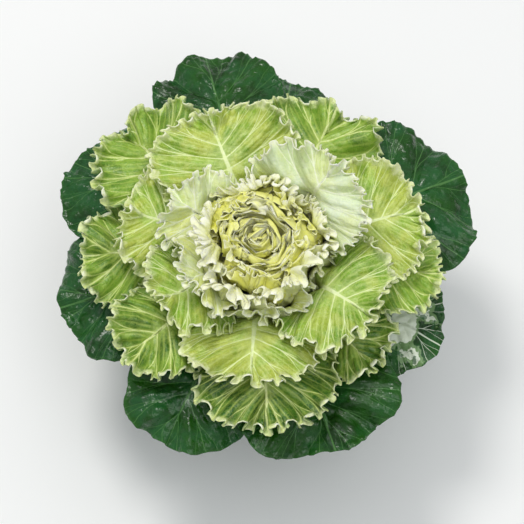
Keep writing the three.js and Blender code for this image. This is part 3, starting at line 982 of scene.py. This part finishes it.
def leaf_material(name, look):
    """Leaf skin, glossy and a little translucent, with relief from its fine veins to its grain."""
    s = Shader(name, srgb(look["blade"]))
    edge = s.mark("edge_mm")
    rib = s.mark("rib_mm")
    progress = s.mark("progress")
    fan = fan_veins(s, look["fan_spacing"])
    net = s.cells(380)
    paint_blade(s, look, edge, progress)
    paint_veins(s, look, net, fan, rib, progress)
    if "white" in look:
        paint_variegation(s, look, edge, rib, progress)
    paint_details(s, look, edge)
    grain = s.bump(s.noise(1100, 2), 0.2, 0.05)
    quilted = s.bump(s.noise(135, 1.5), look["quilt"], 3.0, grain)
    crinkled = s.bump(s.noise(260, 3, 0.6), look["crinkle"], 0.9, quilted)
    netted = s.bump(s.ramp(net, 0.0, 0.22), look["relief"], 0.25, crinkled)
    return s.surface({
        "Roughness": s.ramp(s.noise(200, 3), 0.3, 0.7, *look["roughness"]),
        "Specular IOR Level": look["shine"],
        "Subsurface Weight": look["translucence"],
        "Subsurface Radius": (1.0, 1.0, 0.5),
        "Subsurface Scale": 0.0016,
        "Normal": s.bump(s.ramp(fan, 0.0, 1.0), look["relief"], 0.4, netted),
    })


# ---- Building the leaves ----

BUD_LEAVES = 6
BUD_LOOK = dict(
    grid=(0.36, 9), ruffles=[(6.5, 1.8, 6), (3.2, 1.5, 3.4), (1.9, 0.6, 1.4)], roll=1.2, tint=0.5,
)
# the first bud leaf's value, and the step from one bud leaf to the next
BUD_GROWTH = dict(
    azimuth=(50, 137.5), length=(10, 1.3), half_width=(4, 0.5), place=(-0.95, 0.09), seed=(7000, 1),
)


def build_bud(ceiling, material):
    """The smallest leaves, closed over the middle of the heart, as one piece."""
    sheets = []
    for i in range(BUD_LEAVES):
        grown = {key: first + step * i for key, (first, step) in BUD_GROWTH.items()}
        sheets.append(leaf_sheet({**RINGS[0], **BUD_LOOK, **grown}, ceiling))
    finish_piece(make_piece("heart_bud_leaves", *joined(sheets)), material, "heart_leaf", "heart_bud")


def build_leaves():
    """The bud and every leaf, from the highest layer to the lowest."""
    ceiling = Ceiling()
    materials = {name: leaf_material(name, look) for name, look in LOOKS.items()}
    build_bud(ceiling, materials["heart_leaf"])
    for ring_number, ring in enumerate(RINGS):
        count = len(ring["leaves"])
        for i, (azimuth, length_share, width_share, tint) in enumerate(ring["leaves"]):
            name = f"{ring['name']}_{i + 1}"
            leaf = dict(
                ring,
                azimuth=azimuth,
                length=ring["length"] * length_share,
                half_width=ring["half_width"] * width_share,
                place=ring_number + RING_SPREAD * ((i + 0.5) / count - 0.5),
                seed=1000 * ring_number + 10 * i + 3,
                tint=tint,
            )
            look = "outer_leaf_variegated" if name == VARIEGATED else ring["look"]
            piece = make_piece(name + "_blade", *leaf_sheet(leaf, ceiling))
            finish_piece(piece, materials[look], SLOTS[name], name)


# ---- Pot ----

POT_RIM_RADIUS, _, POT_HEIGHT = (round(size / MM, 2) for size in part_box("nursery_pot")[1])
POT_FOOT_RADIUS = 43
POT_WALL = 1.5
POT_FLOOR = 2
POT_CORNER = 1.5
RIM_BAND = 9
RIM_STEP = 2.2
RIM_FLARE = 0.6
WALL_TOP = POT_HEIGHT - RIM_BAND
BAND_RADIUS = POT_RIM_RADIUS - RIM_FLARE
WALL_SLOPE = (BAND_RADIUS - RIM_STEP - POT_FOOT_RADIUS) / WALL_TOP
POT_SEGMENTS = 144
POT_SPACING = 4.0  # largest step of its profile
POT_SHARP = 38  # degrees between faces that makes an edge sharp
OUTER_SHARE = 0.6  # share of the wall's thickness that counts as its outer side
FLUTES = 24  # shallow upright grooves moulded round the foot
FLUTE_DEPTH = 0.7
FLUTE_SHAPE = (0.1, 0.9)  # how wide and how round they are, on a cosine
FLUTE_FOOT = (1, 5)  # heights between which they start
FLUTE_TOP = 24
FLUTE_END = 6  # they end over this much height below their top
LEDGE = (0.7, 1.2)  # over them the wall steps out by the first, within the second
SWELL = (0.3, 12)  # it still stands out by the first, the second below the band
BEAD = (0.45, 1.6)  # at the band's foot a bead stands out by the first, as high as the second
DRAIN_HOLES = 8
DRAIN_RADIUS = 4
DRAIN_CIRCLE = 30
DRILL_HEIGHTS = (-5, 8)
DRILL_SEGMENTS = 32


def pot_outside(height):
    """Radius of the pot's wall."""
    return POT_FOOT_RADIUS + WALL_SLOPE * height


def pot_profile():
    """From the middle of the underside out, up the wall, over the rim and down to the inner floor."""
    ledge, ledge_height = LEDGE
    swell, swell_drop = SWELL
    bead, bead_height = BEAD
    return rounded([
        (0, 0, 0),
        (POT_FOOT_RADIUS, 0, POT_CORNER),
        (pot_outside(FLUTE_TOP), FLUTE_TOP, 0.5),
        (pot_outside(FLUTE_TOP + ledge_height) + ledge, FLUTE_TOP + ledge_height, 0.5),
        (pot_outside(WALL_TOP - swell_drop) + swell, WALL_TOP - swell_drop, 1),
        (pot_outside(WALL_TOP - 1), WALL_TOP - 1, 0.8),
        (BAND_RADIUS, WALL_TOP, 0.9),
        (BAND_RADIUS + bead, WALL_TOP + bead_height, 0.6),
        (BAND_RADIUS + 0.1, WALL_TOP + 3, 0.6),
        (POT_RIM_RADIUS, POT_HEIGHT, 0.75),
        (POT_RIM_RADIUS - POT_WALL, POT_HEIGHT, 0.7),
        (BAND_RADIUS - POT_WALL, WALL_TOP + POT_WALL, 0.8),
        (pot_outside(WALL_TOP) - POT_WALL, WALL_TOP + POT_WALL, 0.8),
        (POT_FOOT_RADIUS - POT_WALL, POT_FLOOR, POT_CORNER),
        (0, POT_FLOOR, 0),
    ])


def drain_drill():
    """The bars that cut the drain holes, as one piece."""
    low, high = DRILL_HEIGHTS
    profile = rounded([(0, low, 0), (DRAIN_RADIUS, low, 0.2), (DRAIN_RADIUS, high, 0.2), (0, high, 0)])
    points, faces = turned(profile, DRILL_SEGMENTS)
    bars = []
    for i in range(DRAIN_HOLES):
        angle = FULL_TURN * (i + 0.5) / DRAIN_HOLES
        shift = (DRAIN_CIRCLE * math.cos(angle), DRAIN_CIRCLE * math.sin(angle), 0)
        bars.append((points + shift, faces, {}))
    return make_piece("drain_drill", *joined(bars))


def build_pot():
    """The pot, with flutes round its foot and holes in its floor."""
    points, faces = turned(filled_in(pot_profile(), POT_SPACING), POT_SEGMENTS)
    height = points[:, 2]
    outer = np.hypot(points[:, 0], points[:, 1]) > pot_outside(height) - OUTER_SHARE * POT_WALL
    fade = smooth_step(height, *FLUTE_FOOT) * smooth_step(height, FLUTE_TOP, FLUTE_TOP - FLUTE_END)
    around = np.cos(FLUTES * np.arctan2(points[:, 1], points[:, 0]))
    groove = FLUTE_DEPTH * outer * fade * smooth_step(around, *FLUTE_SHAPE)
    pot = make_piece("nursery_pot_shell", swollen(points, -groove), faces, {})

    drill = drain_drill()
    cut = pot.modifiers.new("drain_holes", "BOOLEAN")
    cut.object = drill
    cut.solver = "EXACT"
    depsgraph = bpy.context.evaluated_depsgraph_get()
    pot.data = bpy.data.meshes.new_from_object(pot.evaluated_get(depsgraph))
    pot.modifiers.clear()
    bpy.data.objects.remove(drill)
    pot.data.set_sharp_from_angle(angle=math.radians(POT_SHARP))
    finish_piece(pot, pot_material(), "pot", "nursery_pot")


# ---- Soil ----

SOIL_GAP = 0.3  # between the soil and the pot
SOIL_SEGMENTS = 150
SOIL_STEP = 1.0  # from one ring of its top to the next
SOIL_RINGS = (0.3, 0.4)  # how far in from its side they start, and the radius that they stay above
SOIL_EDGE_DROP = 4  # its edge at the wall lies this much below its level
SOIL_DOME = 1.5
SOIL_RADIUS = 55
SOIL_SUNKEN = (49, 2.0)  # radius where it starts to sink along the wall, and how far it sinks
SOIL_LUMPS = ((9, 1.5, 41), (3.8, 0.9, 42))  # size, height and seed
PEBBLES = (3, 1.0, 43)
PEBBLE_FLANK = 0.5  # distance from a pebble's edge to its flat top, in pebbles
GRAIN_RING = (12, 53)  # radii between which crumbs and grains lie
GRAIN_RARITY = 2.2  # power that makes large ones rare
GRAIN_LIFT = 0.25  # how high their middle lies over the soil, as a share of their size
CRUMBS = (230, (0.7, 2.6), 0.7)  # how many, smallest and largest size, flatness
PERLITE = (80, (0.7, 1.7), 0.85)
GRAIN_SEED = 44


def soil_height(x, y):
    """Height of the lumpy soil: a low dome, sunken along the wall."""
    radius = np.hypot(x, y)
    sink_start, sink = SOIL_SUNKEN
    lumps = sum(height * smooth_noise(x / size, y / size, seed) for size, height, seed in SOIL_LUMPS)
    size, height, seed = PEBBLES
    pebbles = height * smooth_step(cell_edges(x / size, y / size, seed), 0, PEBBLE_FLANK)
    dome = SOIL_DOME * (1 - (radius / SOIL_RADIUS) ** 2)
    sunken = sink * smooth_step(radius, sink_start, SOIL_RADIUS)
    return SOIL_LEVEL + dome - sunken + lumps + pebbles - height


def build_soil():
    """The plug of soil, whose top is a fine grid of rings."""
    bottom = POT_FLOOR + SOIL_GAP
    wall = pot_outside(0) - POT_WALL - SOIL_GAP
    edge = SOIL_LEVEL - SOIL_EDGE_DROP
    edge_radius = wall + WALL_SLOPE * edge
    side = rounded([(0, bottom, 0), (wall, bottom, 1), (edge_radius, edge, 0)])
    inset, least_radius = SOIL_RINGS
    radii = [*np.arange(edge_radius - inset, least_radius, -SOIL_STEP), 0]
    top_rings = [(radius, SOIL_LEVEL) for radius in radii]
    points, faces = turned(np.concatenate([side, top_rings]), SOIL_SEGMENTS)
    top = points[:, 2] > edge
    points[top, 2] = soil_height(points[top, 0], points[top, 1])
    soil = make_piece("potting_soil_plug", points, faces, {})
    finish_piece(soil, soil_material(), "soil", "potting_soil")


def build_grains():
    """Peat crumbs and perlite that lie on the soil."""
    rng = np.random.default_rng(GRAIN_SEED)
    for name, (count, (smallest, largest), flatness), material in (
        ("peat_crumbs", CRUMBS, crumb_material()),
        ("perlite_grains", PERLITE, perlite_material()),
    ):
        angle = rng.uniform(0, FULL_TURN, count)
        radius = np.sqrt(rng.uniform(GRAIN_RING[0] ** 2, GRAIN_RING[1] ** 2, count))
        size = smallest + (largest - smallest) * rng.uniform(0, 1, count) ** GRAIN_RARITY
        x = radius * np.cos(angle)
        y = radius * np.sin(angle)
        centres = np.stack([x, y, soil_height(x, y) + GRAIN_LIFT * size], -1)
        grains = crumbs(centres, size, flatness, GRAIN_SEED + 1 + count)
        finish_piece(make_piece(name, *grains), material, "soil")


# ---- Stem ----

STEM_SEGMENTS = 72
SKIN_DROP = 0.35  # keeps the scarred skin about as thick as the plain stem
STEM_SPACING = 1.6  # largest step of its profile
STEM_SKIN = (1, 5)  # radii between which its skin grows to full relief
SCARS_AROUND = 8  # leaf scars on each side
SCAR_RISE = 7  # from one scar to the next
SCAR_FLANK = (0.02, 0.3)
SCAR_DEPTH = 0.55
SCAR_SEED = 52
STEM_RIBS = (9, 0.25)  # how many, and their height
STEM_SKEW = (12, 2, 53)  # how the ribs wander: over what height, how far, and the seed


def build_stem():
    """The stem, with leaf scars and low ribs."""
    profile = np.stack([STEM_RADII, STEM_HEIGHTS], -1).astype(float)
    points, faces = turned(filled_in(profile, STEM_SPACING), STEM_SEGMENTS)
    radius = np.hypot(points[:, 0], points[:, 1])
    turn = np.arctan2(points[:, 1], points[:, 0])
    height = points[:, 2]
    around = SCARS_AROUND * np.abs(turn) / math.pi
    scars = smooth_step(cell_edges(around, height / SCAR_RISE, SCAR_SEED), *SCAR_FLANK)
    ribs, rib_height = STEM_RIBS
    size, amount, seed = STEM_SKEW
    skew = amount * smooth_noise(height / size, np.zeros_like(height), seed)
    relief = SCAR_DEPTH * scars + rib_height * np.cos(ribs * turn + skew) - SKIN_DROP
    points = swollen(points, relief * smooth_step(radius, *STEM_SKIN))
    stem = make_piece("stem_skin", leaned(points), faces, {"scar": 1 - scars})
    finish_piece(stem, stem_material(), "stem", "stem")


# ---- Materials of the pot, the soil and the stem ----

def pot_material():
    """Matt plastic with flow streaks, rings, soil dust low down and below the rim, and wear."""
    s = Shader("pot", srgb("2e2d2b"))
    s.paint("3b3936", s.ramp(s.noise(60, 4, 0.6), 0.35, 0.7))
    s.paint("5a554d", s.ramp(s.noise(60, 3, 0.6, s.squeezed(6, 6, 0.6)), 0.55, 0.75, 0, 0.35))
    height = s.height()
    low = s.ramp(height, 0.0, 0.03, 0.75, 0)
    below_rim = s.ramp(height, 0.06, 0.091, 0, 0.25)
    dust = s.times(s.plus(low, below_rim), s.ramp(s.noise(150, 5, 0.7), 0.45, 0.65))
    s.paint("7d6a52", dust)
    s.paint("6b5640", s.ramp(s.noise(700, 2), 0.68, 0.72, 0, 0.7))
    s.paint("6d6a66", s.ramp(s.noise(1500, 2, 0.5, s.squeezed(1, 1, 0.05)), 0.62, 0.72, 0, 0.14))
    fine = s.bump(s.noise(2600, 2), 0.35, 0.06)
    rings = s.bump(s.noise(700, 1, 0.5, s.squeezed(0.02, 0.02, 1)), 0.3, 0.15, fine)
    return s.surface({
        "Roughness": s.ramp(s.plus(dust, s.noise(220, 3)), 0.3, 1.2, 0.42, 0.8),
        "Specular IOR Level": 0.45,
        "Normal": s.bump(s.noise(28, 2), 0.35, 1.2, rings),
    })


def soil_material():
    """Dark peat with pale fibres that lie both ways."""
    s = Shader("soil", srgb("241a12"))
    s.paint("4a3524", s.ramp(s.noise(170, 5, 0.65), 0.35, 0.65))
    s.paint("80603f", s.ramp(s.noise(420, 3, 0.6, s.squeezed(1, 0.16, 1)), 0.6, 0.68, 0, 0.75))
    s.paint("6a4c31", s.ramp(s.noise(380, 3, 0.6, s.squeezed(0.16, 1, 1)), 0.62, 0.7, 0, 0.6))
    coarse = s.bump(s.noise(330, 5, 0.75), 0.9, 1.4)
    return s.surface({
        "Roughness": s.ramp(s.noise(300, 2), 0.3, 0.7, 0.78, 1.0),
        "Specular IOR Level": 0.25,
        "Normal": s.bump(s.noise(1300, 4, 0.7), 0.7, 0.5, coarse),
    })


def crumb_material():
    """Brown peat with pale specks."""
    s = Shader("peat_crumb", srgb("2c1f14"))
    s.paint("5e432c", s.ramp(s.noise(240, 3), 0.4, 0.6))
    s.paint("8a6a48", s.ramp(s.noise(900, 3), 0.55, 0.7, 0, 0.5))
    return s.surface({
        "Roughness": s.ramp(s.noise(500, 2), 0.3, 0.7, 0.8, 1.0),
        "Specular IOR Level": 0.2,
        "Normal": s.bump(s.noise(1600, 4, 0.7), 0.8, 0.5),
    })


def perlite_material():
    """Chalky white grains with pits and a little soil on them."""
    s = Shader("perlite", srgb("eceae2"))
    s.paint("cfcabb", s.ramp(s.noise(300, 3), 0.4, 0.7))
    s.paint("8d7a60", s.ramp(s.noise(700, 3), 0.6, 0.72, 0, 0.6))
    return s.surface({
        "Roughness": s.ramp(s.noise(900, 2), 0.3, 0.7, 0.7, 0.95),
        "Specular IOR Level": 0.3,
        "Normal": s.bump(s.ramp(s.cells(1800, "F1"), 0.0, 0.5), 0.7, 0.3),
    })


def stem_material():
    """Corky skin in the soil that turns green above it, with brown scars and pale fibres."""
    s = Shader("stem", srgb("8b7a55"))
    s.paint("a5966c", s.ramp(s.noise(300, 4, 0.7), 0.4, 0.6))
    green = s.mix(s.ramp(s.noise(120, 3), 0.35, 0.65), srgb("a9b878"), srgb("8fa35c"))
    s.colour = s.mix(s.ramp(s.height(), 0.094, 0.112), s.colour, green)
    s.paint("6f5f3c", s.times(s.mark("scar"), 0.8))
    fibre = s.noise(500, 3, 0.6, s.squeezed(1, 1, 0.12))
    s.paint("c9cfa0", s.ramp(fibre, 0.55, 0.7, 0, 0.45))
    return s.surface({
        "Roughness": s.ramp(s.noise(400, 3), 0.3, 0.7, 0.5, 0.75),
        "Specular IOR Level": 0.4,
        "Normal": s.bump(s.noise(900, 3), 0.4, 0.15, s.bump(fibre, 0.5, 0.4)),
    })


# ---- Studio, in metres ----

CAMERA_RISE = 66  # degrees above the horizontal
CAMERA_DISTANCE = 1.05
CAMERA_LENS = 132
AIM = Vector((0, -0.004, 0.118))
LIGHT_AIM = Vector((0, 0, 0.12))
LIGHTS = {  # place, size, power and colour
    "key_light": ((-0.35, 0.45, 1.5), 0.45, 9, (1, 0.985, 0.95)),
    "soft_light": ((0.15, 0.1, 1.7), 1.6, 5.5, (1, 1, 1)),
    "fill_light": ((0.3, -0.6, 1.25), 0.8, 3, (0.95, 0.98, 1)),
}
SKY_COLOUR = (0.95, 0.98, 1, 1)
SKY_STRENGTH = 0.45
FLOOR_COLOUR = (0.93, 0.93, 0.925, 1)
FLOOR_SIZE = 6


def point_at(thing, place, aim):
    """Puts a light or the camera in its place, turned towards its aim."""
    bpy.context.scene.collection.objects.link(thing)
    thing.location = place
    thing.rotation_euler = (aim - Vector(place)).to_track_quat("-Z", "Y").to_euler()


def build_lights():
    """Round lamps over the plant, and an even sky."""
    for name, (place, size, power, colour) in LIGHTS.items():
        light = bpy.data.lights.new(name, "AREA")
        light.shape = "DISK"
        light.size = size
        light.energy = power
        light.color = colour
        point_at(bpy.data.objects.new(name, light), place, LIGHT_AIM)
    world = bpy.data.worlds.new("studio")
    world.use_nodes = True
    sky = world.node_tree.nodes["Background"].inputs
    sky["Color"].default_value = SKY_COLOUR
    sky["Strength"].default_value = SKY_STRENGTH
    bpy.context.scene.world = world


def build_floor():
    """The pale floor on which the pot stands."""
    bpy.ops.mesh.primitive_plane_add(size=FLOOR_SIZE)
    floor = bpy.context.object
    floor.name = "studio_floor"
    s = Shader("studio_floor", FLOOR_COLOUR)
    floor.data.materials.append(s.surface({"Roughness": 0.8}))


def build_camera():
    """The photo's point of view."""
    camera = bpy.data.objects.new("camera", bpy.data.cameras.new("camera"))
    rise = math.radians(CAMERA_RISE)
    point_at(camera, AIM + CAMERA_DISTANCE * Vector((0, -math.cos(rise), math.sin(rise))), AIM)
    camera.data.lens = CAMERA_LENS
    bpy.context.scene.camera = camera


build_leaves()
build_stem()
build_soil()
build_grains()
build_pot()
bpy.context.scene.view_settings.view_transform = "Standard"
build_lights()
build_floor()
build_camera()
